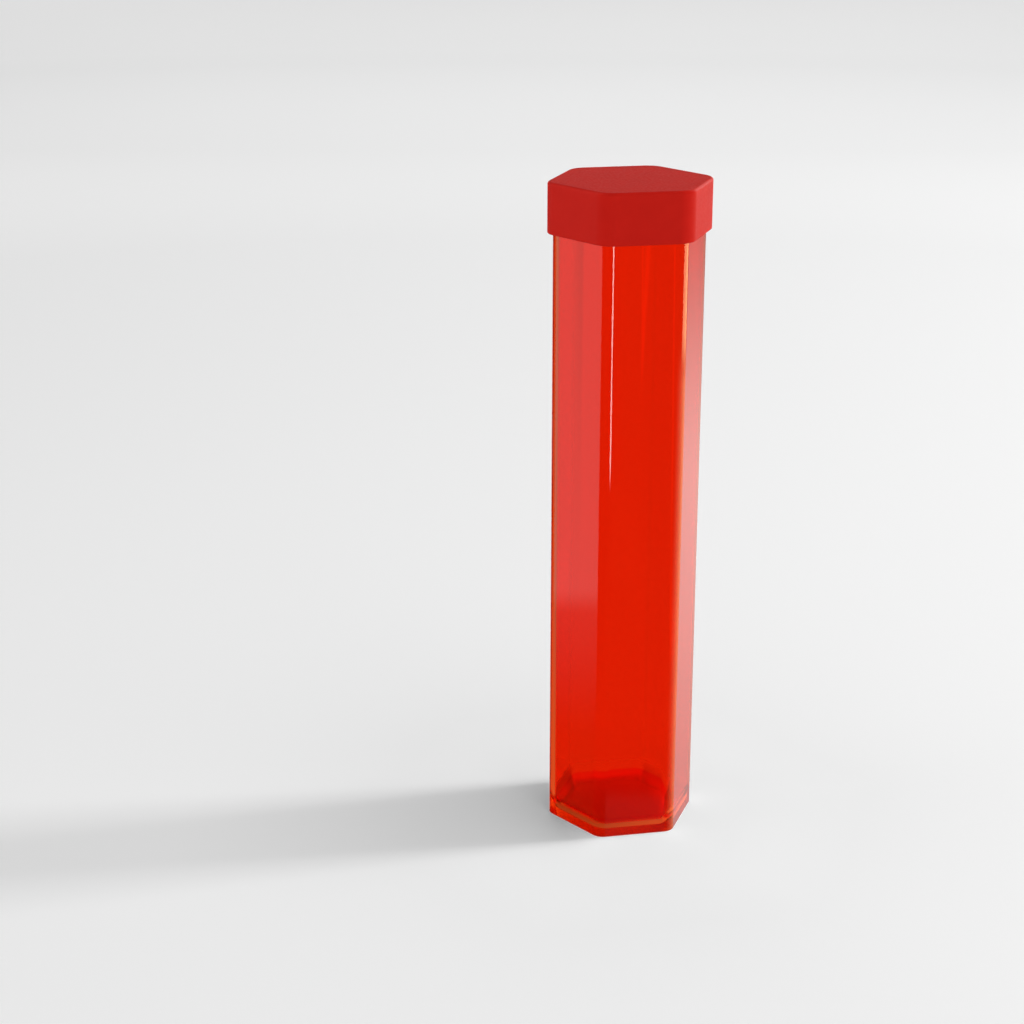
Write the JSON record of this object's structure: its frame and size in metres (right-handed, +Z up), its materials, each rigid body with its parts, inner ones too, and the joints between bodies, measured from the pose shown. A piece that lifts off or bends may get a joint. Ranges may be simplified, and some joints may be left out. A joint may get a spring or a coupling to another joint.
{
  "type": "playmat tube",
  "caption": "Hexagonal storage tube for a rolled playmat: a clear tinted moulded tube with a closed foot, and a soft matte cap that grips over its mouth and lifts off along the axis.",
  "frame": {"origin": "middle of the tube's foot, on the surface that it stands on", "axes": "+Z up along the tube towards the cap; two of the six long corners lie on the X axis, so the -Y and +Y sides are flat"},
  "size_m": [0.0916, 0.0826, 0.376],
  "materials": {
    "clear_tube": "clear orange-red tinted, polished",
    "soft_cap": "matte soft-touch"
  },
  "bodies": {
    "tube": {"tube_body": "clear_tube"},
    "cap": {"cap": "soft_cap"}
  },
  "joints": [
    {"name": "cap_slide", "type": "slide", "parent": "tube", "child": "cap", "axis": [0, 0, 1], "range_m": [0, 0.06]}
  ]
}
